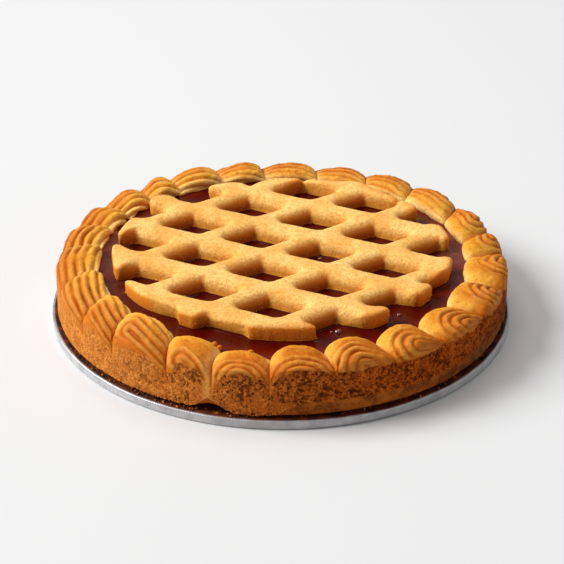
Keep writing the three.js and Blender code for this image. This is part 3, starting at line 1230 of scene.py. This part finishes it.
    def build(self) -> bpy.types.Object:
        """Shape the shell, raise its ridges, open its crumb, and make the object.

        A ridge is the sine of the distance out from the swirl, made round on top and sharp in its
        grooves by a power of 0.8, and raised square to the dough. Swellings, roughness and pits
        are noise, pushed out square to the profile.

        Returns:
            The shell, closed at both ends.
        """
        shape, grid = self.shape, self.lay_out()
        column, radius, height, points = grid.column, grid.radius, grid.height, grid.points
        turned = grid.degrees % 360.0
        browner = 0.42 * smooth_step(radius, 111.0, 121.0) * hump(turned, 148.0, 42.0)
        bake = self.seam("bake", column) + browner
        # The third column of open_crumb is painted shade: it darkens and reddens the crumb towards the
        # front right, away from the lamp.
        angles, openness, shade_by_angle = zip(*self.open_crumb)
        porous, brown = np.interp(turned, angles, openness), np.interp(turned, angles, shade_by_angle)
        crumb, strip = self.open_sides(grid, porous)

        ring, up = self.rings(column[:, 0], grid.full)
        ring = ring + 0.8 * Noise(12).cloud(points, 9.0, 2)
        wave = np.abs(np.sin(np.pi * ring / shape.pitch))
        ends = smooth_step(column, 0.0, 0.05) * smooth_step(column, 1.0, 0.94)
        shown = smooth_step(ring, shape.reach, shape.reach - 2.0) * smooth_step(up, -6.0, -2.5)
        foot = smooth_step(height, grid.valley - 5.0, grid.valley)
        strength = ends * shown * foot * (1.0 - crumb)
        strength = strength * (1.0 - shape.fade * smooth_step(column - shape.swirl[0], 0.04, 0.22))
        strength = strength * np.clip(0.85 + 0.6 * Noise(18).smooth(points, 9.0), 0.2, 1.15)
        lift = shape.ridge * strength * (wave**0.8 - 0.65) * smooth_step(radius, 124.0, 119.0)
        points = points + Sheet(points).normals() * lift[..., None]

        fine = 0.34 * Noise(9).cloud(points, 4.5, 2) + 0.26 * Noise(14).cloud(points, 2.2)
        swell = 0.75 * Noise(13).cloud(points, 10.0) + fine * (1.0 - crumb)
        sponge = Noise(15).cloud(points, 1.25, 3) + 0.35 * Noise(16).smooth(points, 5.0)
        # pit pushes the pores in, and the material paints them near black: painted shade in the recesses.
        pit = smooth_step(sponge, 0.04, 0.42) * crumb * porous
        rough = 0.4 * Noise(17).cloud(points, 1.3, 3) * crumb * (0.4 + 0.6 * porous)
        push = swell + rough - 0.9 * pit
        push = np.minimum(push, np.where(radius > self.wall - 2.0, 0.12, push))
        slope = np.gradient(grid.profile, axis=1)
        slope = slope / np.maximum(np.linalg.norm(slope, axis=-1, keepdims=True), 1e-9)
        outward = polar(-slope[..., 1], grid.degrees, slope[..., 0], (0.0, 0.0))
        points = points + outward * push[..., None]

        flank = smooth_step(self.crest - shape.sink - height, 1.2, 6.0)
        flank = flank * smooth_step(radius, self.crest_radius - 0.8, self.inner + 1.2)
        cusp = smooth_step(grid.fullness, 0.5, 0.1) * smooth_step(radius, 117.0, 109.0)
        start = 104.0 - 3.5 * np.clip(bake, 0.0, 0.7)
        # head is a painted highlight: a pale yellow on each shell's head end.
        head = smooth_step(column, 0.34, 0.06) * smooth_step(radius, 120.0, 112.0)
        # seam and furrow darken the seams and grooves as painted shade in the creases. The groove value
        # also adds real toasting round the swirl's middle.
        seam = smooth_step(grid.fullness, 0.4, 0.0) * smooth_step(radius, 108.0, 114.0)
        furrow = smooth_step(wave, 0.62, 0.05) * strength * (1.0 - 0.6 * flank)
        furrow = furrow * min(1.0, shape.ridge / 1.5)
        values = {
            "groove": furrow + 0.5 * seam + 0.45 * smooth_step(ring, 9.0, 1.0),
            # ridge: a painted highlight on the crests.
            "ridge": smooth_step(wave, 0.5, 0.95) * strength * (1.0 - 0.6 * bake),
            "head": head * (1.0 - crumb),
            "pale": flank + 0.4 * cusp + 0.26 * strip,
            "toast": smooth_step(radius + 3.0 * Noise(19).cloud(points, 9.0), start, start + 9.0),
            # painted shade on the crumb, by angle
            "brown": brown,
            # painted shade and dark reflection low on the right
            "right_shade": right_shaded(grid.degrees, height) * smooth_step(radius, 112.0, 117.0),
            "crumb": crumb,
            "pit": pit,
        }
        values = {key: np.clip(value, 0.0, 1.0) for key, value in values.items()} | {"bake": bake}
        caps = [np.broadcast_to(points[row].mean(axis=0), points[row].shape) for row in (0, -1)]
        points = np.concatenate([caps[0][None], points, caps[1][None]])
        values = {key: np.vstack([v[:1], v, v[-1:]]) for key, v in values.items()}
        return Sheet(points, values, wrap_columns=True).build(self.name)


@dataclass
class PipedBorder:
    """The 24 shells, each placed where its node stands in the frame.

    open_crumb says, at angles round the tart, how porous the crumb is and how strongly it is
    painted darker and redder, a painted shade that deepens towards the front right, away from the
    lamp. gap is how many degrees the frame's shells stand back from their seams, whose ends are
    measured at inner_radius and outer_radius.
    """

    node_prefix: str = "shell_"
    piece_prefix: str = "piped_shell_"
    gap: float = 0.09
    inner_radius: float = 100.0
    outer_radius: float = 122.0
    # Each row: an angle, how porous the crumb is, and how strongly it is painted darker and redder, a
    # painted shade that deepens towards the front right.
    open_crumb: tuple[tuple[float, float, float], ...] = (
        (0.0, 0.5, 0.8), (180.0, 0.12, 0.15), (212.0, 0.2, 0.22), (232.0, 0.45, 0.3),
        (250.0, 0.62, 0.5), (262.0, 0.75, 0.66), (285.0, 0.8, 0.84), (300.0, 0.6, 0.95),
        (345.0, 0.5, 0.9), (360.0, 0.5, 0.8),
    )

    def measure(
        self, node: str, centre: tuple[float, float]
    ) -> tuple[tuple[float, float], tuple[float, float], float]:
        """Measure a shell's node.

        Args:
            node: its name.
            centre: the tart's upright axis.

        Returns:
            The inner and outer angle where it starts, the same where it ends, in degrees, and the
            height of its crest.
        """
        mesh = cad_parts[node].data
        flat = np.empty(len(mesh.vertices) * 3, np.float32)
        mesh.vertices.foreach_get("co", flat)
        points = flat.reshape(-1, 3) / MM
        away = points[:, :2] - np.array(centre)
        middle = away.mean(axis=0)
        heading = math.degrees(math.atan2(middle[1], middle[0])) % 360.0
        turn = np.degrees(np.arctan2(away[:, 1], away[:, 0])) - heading
        turn = (turn + 180.0) % 360.0 - 180.0
        radius = np.hypot(away[:, 0], away[:, 1])
        ends = turn[np.abs(radius - self.inner_radius) < 0.1], turn[radius > self.outer_radius]
        head = tuple(heading + end.min() - self.gap for end in ends)
        tail = tuple(heading + end.max() + self.gap for end in ends)
        return head, tail, float(points[:, 2].max())

    def build(self) -> None:
        """Build and dress every shell."""
        centre = tart_axis("jam")
        for index, shape in enumerate(SHELL_SHAPES):
            node = f"{self.node_prefix}{index + 1:02d}"
            head, tail, crest = self.measure(node, centre)
            before = SHELL_SHAPES[index - 1]
            head, tail = (head[0], head[1] + before.slide), (tail[0], tail[1] + shape.slide)
            name = f"{self.piece_prefix}{index + 1:02d}"
            shell = PipedShell(name, head, tail, crest, shape, before, centre, self.open_crumb)
            dress(shell.build(), Finish.PIPED_CRUST, "piped_crust", node)


# ---------------- the rolled base


@dataclass
class RolledBase:
    """The base: a thick disc turned about the tart's axis, its foot rounded and raised by lift
    in the recess at the front. Its crumb shows outside crumb_radius."""

    top: float = 14.2
    wall: float = 121.7
    core: float = 100.0
    foot_round: float = 3.6
    lift: float = 3.6
    crumb_radius: float = 110.0
    turns: int = 900

    def build(self) -> None:
        """Build and dress the base: a quarter circle and an upright side, pitted and swollen by noise."""
        centre, bottom = tart_axis("pastry_base"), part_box("pastry_base")[0].z / MM
        degrees = whole_turn(self.turns)
        turn = np.radians(np.linspace(0.0, 90.0, 12))[None, :]
        side = np.linspace(0.0, 1.0, 24)[None, 1:]
        start = bottom + self.lift * hump(degrees, 253.0, 4.0)
        parts = (
            (0.0, start),
            (self.core, start),
            (
                self.wall - self.foot_round * (1.0 - np.sin(turn)),
                start + self.foot_round * (1.0 - np.cos(turn)),
            ),
            (self.wall, start + self.foot_round + (self.top - start - self.foot_round) * side),
            (self.core, self.top),
            (0.0, self.top),
        )
        radius, height = np.moveaxis(join_profile(parts, degrees), -1, 0)
        turned = degrees + 0.0 * radius
        points = polar(radius, degrees, height, centre)
        near_edge = radius > self.crumb_radius
        smooth_band = smooth_step(turned, 268.0, 275.0) * smooth_step(turned, 356.0, 346.0)
        crumb = (1.0 - smooth_band) * near_edge
        # The pits are pushed in and painted dark: painted shade in the recesses.
        hole, mark = Noise(21).nearest(points, 2.2)
        pit = smooth_step(hole, 0.45, 0.1) * (mark > 0.5) * crumb
        wobble = 0.35 * Noise(22).cloud(points, 14.0) + 0.2 * Noise(23).cloud(points, 3.0)
        radius = radius + np.where(near_edge, wobble - 0.6 * pit, 0.0)
        points = polar(radius, degrees, height, centre)
        # The low right side gets painted shade and a painted dark reflection.
        values = {"crumb": crumb, "pit": pit, "right_shade": right_shaded(turned, height) * near_edge}
        base = Sheet(points[:, ::-1], {k: v[:, ::-1] for k, v in values.items()}, wrap_rows=True)
        dress(base.build("rolled_base"), Finish.BASE_DOUGH, "base_crust", "pastry_base")


# ---------------- the lattice


@dataclass
class CutLattice:
    """The lattice: one rolled sheet with skewed openings, cut to an oval, edges baked round.

    It is one grid. A point's distance from the cut edge, measured on the flat grid, is turned into
    a place on a rounded-over profile: in the bar it lies on top, at the edge it goes over the
    rounding, and just inside an opening it runs down the wall.

    window is the middle of one opening, and angles, pitches and bars are the headings, spacings
    and widths of the two sets of bars. swells are places where the oval bulges or draws in: the
    angle, how far, and how wide in degrees. round_out and round_down are the reach of the rounded
    edge, wall is how much of the flat grid becomes the wall, and points further in than calm stay.
    """

    window: tuple[float, float] = (-12.5, 12.8)
    angles: tuple[float, float] = (35.0, -25.7)
    pitches: tuple[float, float] = (37.6, 38.7)
    bars: tuple[float, float] = (12.9, 14.5)
    half_width: float = 92.2
    half_depth: float = 87.6
    middle: tuple[float, float] = (0.7, -0.7)
    corner: float = 2.4
    blend_radius: float = 4.0
    swells: tuple[tuple[float, float, float], ...] = (
        (62.8, 5.0, 6.0), (138.5, 6.0, 5.0), (-42.0, -1.8, 20.0), (108.0, -1.5, 14.0)
    )
    round_out: float = 5.9
    round_down: float = 5.8
    wall: float = 3.6
    calm: float = 7.4
    bottom: float = 28.4
    top: float = 38.55
    ceiling: float = 38.95
    pitch: float = 0.56
    spread: float = 9.0
    grains: int = 1100

    def opening_distance(self, x: Array, y: Array) -> Array:
        """Measure how far outside the nearest opening each place is, negative inside it.

        Args:
            x: places along +X.
            y: places along +Y.

        Returns:
            The distance to the nearest side of a smaller skewed opening, less the corner radius.
        """
        directions = [(math.cos(math.radians(a)), math.sin(math.radians(a))) for a in self.angles]
        steps = np.array([[p * d for d in way] for p, way in zip(self.pitches, directions)]).T
        local = np.linalg.inv(steps) @ np.stack([x.ravel() - self.window[0], y.ravel() - self.window[1]])
        offset = steps @ (local - np.round(local))
        sine = math.sin(math.radians(self.angles[0] - self.angles[1]))
        gaps = (self.pitches[1] * sine - self.bars[0], self.pitches[0] * sine - self.bars[1])
        halves = [0.5 * gap - self.corner for gap in gaps]
        across = [abs(way[0] * offset[1] - way[1] * offset[0]) for way in directions]
        reach = [halves[1] / sine, halves[0] / sine]
        away = np.full(x.size, np.inf)
        for (own, other), side in itertools.product(((0, 1), (1, 0)), (-1.0, 1.0)):
            way = np.array(directions[own])
            relative = offset - (np.array(directions[other]) * side * reach[other])[:, None]
            share = np.clip(way @ relative, -reach[own], reach[own])
            away = np.minimum(away, np.hypot(*(relative - way[:, None] * share)))
        inside = (across[0] < halves[0]) & (across[1] < halves[1])
        return (np.where(inside, -away, away) - self.corner).reshape(x.shape)

    def edge_distance(self, x: Array, y: Array) -> tuple[Array, Array, Array]:
        """Measure how far inside the dough each place is, negative in the openings and outside.

        Args:
            x: places along +X.
            y: places along +Y.

        Returns:
            The distance to the nearest cut, to the nearest opening, and to the swollen oval edge:
            1 less the oval's own radius, divided by how fast that grows.
        """
        hole = self.opening_distance(x, y)
        u, v = (x - self.middle[0]) / self.half_width, (y - self.middle[1]) / self.half_depth
        size = np.maximum(np.hypot(u, v), 1e-6)
        slope = np.hypot(u / self.half_width, v / self.half_depth) / size
        rim = (1.0 - size) / np.maximum(slope, 1e-6)
        around = np.degrees(np.arctan2(v, u))
        for angle, swell, width in self.swells:
            rim = rim + swell * hump(around, angle, width)
        return rounded_least(hole, rim, self.blend_radius), hole, rim

    def settle(self, x: Array, y: Array, wanted: Array) -> tuple[Array, Array]:
        """Slide places square to the cut until each lies as far inside it as wanted.

        Args:
            x: places along +X.
            y: places along +Y.
            wanted: the distance inside the cut each place should have.

        Returns:
            The moved x and y, after four steps of Newton's method on the whole grid.
        """
        probe = 0.15
        moved = np.abs(wanted - self.edge_distance(x, y)[0]) > 1e-6
        for _ in range(4):
            now = self.edge_distance(x, y)[0]
            slope_x = (self.edge_distance(x + probe, y)[0] - now) / probe
            slope_y = (self.edge_distance(x, y + probe)[0] - now) / probe
            size = np.maximum(np.hypot(slope_x, slope_y), 0.6)
            shift = np.where(moved, np.clip((wanted - now) / size**2, -2.5, 2.5), 0.0)
            x, y = x + slope_x * shift, y + slope_y * shift
        return x, y

    def build(self) -> None:
        """Build and dress the lattice, and scatter sugar on it.

        The edge is a quarter ellipse, less round where the outer edge was cut through a bar, and
        the wall runs down from it, drawn in near the rim by the rest of a circle.
        """
        halves = (self.half_width + self.spread, self.half_depth + self.spread)
        places = [np.arange(m - h, m + h, self.pitch) for m, h in zip(self.middle, halves)]
        x, y = np.meshgrid(*places, indexing="ij")
        flat = np.stack([x, y, 0.0 * x], axis=-1)
        distance, hole, rim = self.edge_distance(x, y)
        waver = 0.35 * Noise(31).cloud(flat, 16.0) + 0.12 * Noise(32).cloud(flat, 3.0)
        distance = distance + waver
        slope_x, slope_y = np.gradient(distance, self.pitch)
        size = np.maximum(np.hypot(slope_x, slope_y), 0.5)

        # cut: the outer edge through a bar; near: near the rim; slim: an opening's edge there.
        cut = smooth_step(hole - rim, -1.2, 1.2)
        near = smooth_step(rim, 10.0, 3.0)
        slim = near * (1.0 - cut)
        front = hump(np.degrees(np.arctan2(y - self.middle[1], x - self.middle[0])), -83.0, 12.0)
        arc = 6.3 - 4.3 * cut - 3.5 * slim
        out = self.round_out - 4.2 * cut - 3.7 * slim + 1.4 * cut * front
        drop = self.round_down - 3.8 * cut - 3.2 * slim
        undercut = 2.2 * near - 0.8 * cut - 1.6 * near * front
        turn = np.radians(90.0) * np.clip(distance / arc, 0.0, 1.0)
        down = np.clip(-distance / self.wall, 0.0, 1.0)
        bulge = undercut * (1.0 - np.sqrt(1.0 - down**2)) - 0.4 * down**2 * (1.0 - near)
        beyond = out + (distance - arc) * (self.calm - out) / (self.calm - arc)
        wanted = np.select(
            [distance < 0.0, distance < arc, distance <= self.calm],
            [bulge, out * (1.0 - np.cos(turn)), beyond],
            distance,
        )
        edge_height = self.top - drop
        below = edge_height + (self.bottom - edge_height) * down
        height = np.where(distance >= 0.0, edge_height + drop * np.sin(turn), below)
        points = np.stack([*self.settle(x, y, wanted - waver), height], axis=-1)

        on_top = smooth_step(distance, -1.0, 5.6)
        sway = 0.32 * Noise(33).cloud(flat, 34.0, 2) + 0.12 * Noise(34).cloud(flat, 7.0)
        grit = 0.11 * Noise(35).cloud(points, 1.8, 2)
        points[..., 2] += (sway - 0.1) * on_top
        points = points - Sheet(points).normals() * grit[..., None]
        points[..., 2] = np.minimum(points[..., 2], self.ceiling)
        keep = distance > -self.wall - 0.3
        keep = keep[:-1, :-1] & keep[1:, :-1] & keep[:-1, 1:] & keep[1:, 1:]
        side = smooth_step(distance, 2.2, -1.6)
        # Painted shade: away is how far a wall faces away from the lamp on the left. shaded colours such
        # walls, and deep darkens the walls low in the openings, most where they face away.
        away = smooth_step(0.35 * slope_y / size - slope_x / size, -0.1, 0.6)
        shaded = away * smooth_step(distance, 5.4, 1.2) * (1.0 - 0.5 * cut)
        deep = smooth_step(height, 36.6, 29.6) * (0.08 + 0.77 * away) * smooth_step(distance, 3.0, -0.6)
        values = {
            "side": side,
            "end": cut * smooth_step(distance, 0.9, -0.2),
            "shaded": 0.95 * shaded,
            "deep": deep * (1.0 - 0.6 * cut),
        }
        turned = Sheet(points.transpose(1, 0, 2), {k: v.T for k, v in values.items()}, keep=keep.T)
        dress(turned.build("cut_lattice"), Finish.ROLLED_CRUST, "lattice_crust", "lattice")

        chance = np.random.default_rng(36)
        stretch = np.hypot(points[..., 0] - x, points[..., 1] - y)
        weight = np.where((distance > -2.8) & (stretch < 3.2), 0.06 + side, 0.0).ravel()
        chosen = chance.choice(weight.size, self.grains, p=weight / weight.sum())
        sizes = chance.uniform(0.3, 0.6, self.grains)
        sugar = Lumps("lattice_sugar", 37).build(points.reshape(-1, 3)[chosen], sizes)
        dress(sugar, Finish.SUGAR, "lattice_crust")


# ---------------- the jam


@dataclass
class JamFilling:
    """The jam: a wide flat dish turned about the tart's axis, its skin rippled and bubbled.

    reach is how far it runs in under the border, and each bubble is its place and its width.
    """

    level: float = 29.35
    reach: float = 110.0
    floor_reach: float = 100.0
    turns: int = 640
    rings: int = 150
    bubbles: tuple[tuple[float, float, float], ...] = (
        (28.7, -77.7, 4.2), (25.4, -78.0, 2.0), (20.7, 2.3, 2.8), (60.6, -59.7, 2.6),
        (88.0, 22.0, 2.4), (86.0, 33.0, 1.8),
    )

    def build(self, lattice: CutLattice) -> None:
        """Build and dress the jam: a level disc, raised by noise and where it creeps up dough.

        Args:
            lattice: the lattice, against whose walls the jam creeps up.
        """
        centre, bottom = tart_axis("jam"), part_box("jam")[0].z / MM
        degrees = whole_turn(self.turns)
        radius = self.reach * np.linspace(0.0, 1.0, self.rings)[None, :] ** 0.8
        points = polar(radius, degrees, self.level, centre)
        radius = radius + 0.0 * degrees
        distance = lattice.edge_distance(points[..., 0], points[..., 1])[0]
        creep = 0.55 * smooth_step(distance, -1.6, -0.2) + 0.5 * smooth_step(radius, 97.0, 101.0)
        ripple = 0.26 * Noise(41).cloud(points, 17.0, 3) + 0.1 * Noise(42).cloud(points, 4.0, 2)
        wrinkled = hump(points[..., 0], 84.0, 16.0) * hump(points[..., 1], 30.0, 40.0)
        ripple = ripple + 0.5 * wrinkled * Noise(43).cloud(points, 5.0, 2)
        points[..., 2] += creep + ripple
        # A painted reflection: a greyish sheen near the border at the left and the right, standing for the
        # bright surroundings mirrored in the jam.
        skin_and_sheen = hump(degrees, 172.0, 30.0) + hump((degrees + 180.0) % 360.0, 192.0, 28.0)
        skin_and_sheen = skin_and_sheen * smooth_step(radius, 82.0, 90.0) * (0.6 + 0.6 * Noise(45).cloud(points, 6.0, 2))
        values = {"thin": 0.4 * smooth_step(radius, 92.0, 99.5), "skin_and_sheen": np.clip(skin_and_sheen, 0.0, 1.0)}
        floor = polar(np.array([[self.floor_reach, 0.0]]), degrees, bottom, centre)
        values = {key: np.hstack([v, np.zeros((self.turns, 2))]) for key, v in values.items()}
        jam = Sheet(np.concatenate([points, floor], axis=1), values, wrap_rows=True)
        dress(jam.build("apricot_jam"), Finish.JAM, "apricot_jam", "jam")
        spots = np.array(self.bubbles)
        places = np.array([*centre, self.level + 0.1]) + spots * (1.0, 1.0, 0.0)
        domes = Lumps("jam_bubbles", 44, flat=0.75, rough=0.0, rises=17, turns=28)
        dress(domes.build(places, spots[:, 2]), Finish.BUBBLE, "apricot_jam")


# ---------------- the card


@dataclass
class FoilCard:
    """The card round: a thin disc with a soft edge and a finely pinked foil rim.

    edge lists how far in from the rim and how far below the top its profile runs, and heel the
    same below, as heights above the floor.
    """

    teeth: int = 520
    turns: int = 2080
    flat_rings: tuple[float, ...] = (0.0, 60.0, 110.0, 119.0)
    edge: tuple[tuple[float, float], ...] = (
        (2.4, 0.0), (1.6, 0.0), (1.1, 0.02), (0.6, 0.05), (0.3, 0.25), (0.15, 0.6), (0.4, 1.0)
    )
    heel: tuple[tuple[float, float], ...] = (
        (0.45, 2.6), (0.4, 1.2), (0.5, 0.5), (0.9, 0.1), (1.6, 0.0)
    )

    def build(self) -> None:
        """Build and dress the card: its profile turned about +Z, the rim drawn in by a cosine."""
        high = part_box("foil_card")[1]
        radius, top = high.x / MM, high.z / MM
        degrees = whole_turn(self.turns)
        tooth = 0.5 + 0.5 * np.cos(np.radians(degrees) * self.teeth)
        profile = [(ring, top) for ring in self.flat_rings]
        profile += [(radius - back, top - down) for back, down in self.edge]
        profile += [(radius - back, up) for back, up in self.heel] + [(80.0, 0.0), (0.0, 0.0)]
        profile = np.array(profile)[None]
        nearness = hump(profile[..., 0], radius, 1.0) * hump(profile[..., 1], top, 0.7)
        spread = profile[..., 0] - 0.25 * nearness * (1.0 - tooth)
        height = profile[..., 1] - 0.15 * nearness * (1.0 - tooth)
        points = polar(spread, degrees, height, (0.0, 0.0))
        wavy = 0.25 * Noise(51).cloud(points, 9.0) * smooth_step(spread, 100.0, 118.0)
        points[..., 2] += np.where(profile[..., 1] > top - 0.03, np.minimum(wavy - 0.15, 0.0), 0.0)
        # Painted reflection and contact shadow: the top inside the rim is painted dark and shows as a strip
        # round the tart's foot, and the front of the card is tinted as a painted reflection of the tart.
        reflection_shade = smooth_step(spread, radius - 1.0, radius - 1.7) * (points[..., 2] > 2.5)
        reflection_shade = np.maximum(reflection_shade, 0.3 * hump(degrees, 265.0, 32.0))
        card = Sheet(points[:, ::-1], {"reflection_shade": reflection_shade[:, ::-1]}, wrap_rows=True)
        dress(card.build("foil_card_round"), Finish.FOIL, "foil_card", "foil_card")


# ---------------- floor, light and camera


@dataclass
class Studio:
    """A pale floor, soft lamps and the camera, whose distance and target are in mm.

    Each square lamp is its watts, its side in metres, its azimuth and elevation seen from the
    tart, and its distance in metres.
    """

    lens: float = 128.56
    sensor: float = 36.0
    elevation: float = 28.35
    distance: float = 1100.0
    target: tuple[float, float, float] = (0.46, 0.0, 16.3)
    roll: float = 0.24
    floor_half: float = 4000.0
    floor_colour: str = "D9D9D9"
    air_strength: float = 0.28
    lamps: tuple[tuple[str, float, float, float, float, float], ...] = (
        ("key_left", 430.0, 3.0, 178.0, 40.0, 6.0),
        ("top_fill", 6.7, 1.0, 100.0, 78.0, 1.4),
    )

    def light(self) -> None:
        """Hang the lamps, aimed at the tart."""
        for name, power, size, azimuth, elevation, distance in self.lamps:
            data = bpy.data.lights.new(name, "AREA")
            data.energy, data.size = power, size
            lamp = bpy.data.objects.new(name, data)
            bpy.context.scene.collection.objects.link(lamp)
            turn, slope = math.radians(azimuth), math.radians(elevation)
            away = Vector((math.cos(turn), math.sin(turn), math.tan(slope))).normalized()
            lamp.location = away * distance
            lamp.rotation_mode = "QUATERNION"
            lamp.rotation_quaternion = (-away).to_track_quat("-Z", "Y")

    def camera(self) -> None:
        """Set the camera looking along +Y and down at the tart."""
        data = bpy.data.cameras.new("camera")
        data.lens, data.sensor_width = self.lens, self.sensor
        camera = bpy.data.objects.new("camera", data)
        bpy.context.scene.collection.objects.link(camera)
        slope = math.radians(self.elevation)
        back = Vector((0.0, -math.cos(slope), math.sin(slope)))
        camera.location = Vector(self.target) * MM + back * self.distance * MM
        look = (-back).to_track_quat("-Z", "Y").to_matrix().to_4x4()
        turn = Matrix.Rotation(math.radians(self.roll), 4, "Z")
        camera.matrix_world = Matrix.Translation(camera.location) @ look @ turn
        bpy.context.scene.camera = camera

    def floor(self) -> None:
        """Lay a pale matte floor under the card."""
        corners = self.floor_half * np.array([(-1, -1, 0), (1, -1, 0), (1, 1, 0), (-1, 1, 0)], float)
        floor = make_object("floor", corners, np.array([[0, 1, 2, 3]]))
        matte = {"Base Color": self.floor_colour, "Roughness": 0.8}
        floor.data.materials.append(Tree("pale_paper_backdrop").finish(matte))

    def build(self) -> None:
        """Set up everything that isn't the tart."""
        self.camera()
        self.floor()
        world = bpy.data.worlds.new("studio_air")
        world.use_nodes = True
        air = world.node_tree.nodes["Background"]
        air.inputs["Color"].default_value = linear("FFFFFF")
        air.inputs["Strength"].default_value = self.air_strength
        bpy.context.scene.world = world
        self.light()
        bpy.context.scene.view_settings.view_transform = "Standard"


def main() -> None:
    logging.basicConfig(level=logging.INFO, format="%(name)s: %(message)s")
    lattice = CutLattice()
    Studio().build()
    FoilCard().build()
    RolledBase().build()
    JamFilling().build(lattice)
    lattice.build()
    PipedBorder().build()
    for tip in TIPS:
        tip.build(tart_axis("jam"))
    LooseCrumbs().build()


if __name__ == "__main__":
    main()
